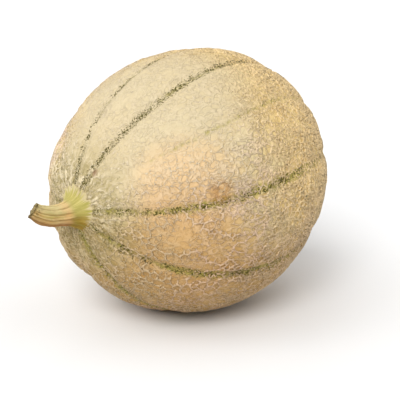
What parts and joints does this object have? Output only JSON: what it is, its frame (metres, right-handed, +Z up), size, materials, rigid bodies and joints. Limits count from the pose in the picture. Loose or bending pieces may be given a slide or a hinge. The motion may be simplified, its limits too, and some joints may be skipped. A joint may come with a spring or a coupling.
{
  "type": "cantaloupe melon",
  "caption": "Whole round netted melon lying on its side: ribbed rind with grooved sutures, raised net, blossom scar, flat resting spot and short cut stem.",
  "frame": {"origin": "on the small flat resting spot, straight under the middle of the fruit", "axes": "+Z up; X along the melon's own axis, stem at -X and blossom end at +X"},
  "size_m": [0.1941, 0.1453, 0.1438],
  "materials": {
    "rind": "matt netted rind, cream to tan over olive sutures",
    "stalk": "matt drying green-gold stalk with a darker cut end"
  },
  "bodies": {
    "root": {"fruit": "rind", "stem": "stalk"}
  },
  "joints": []
}
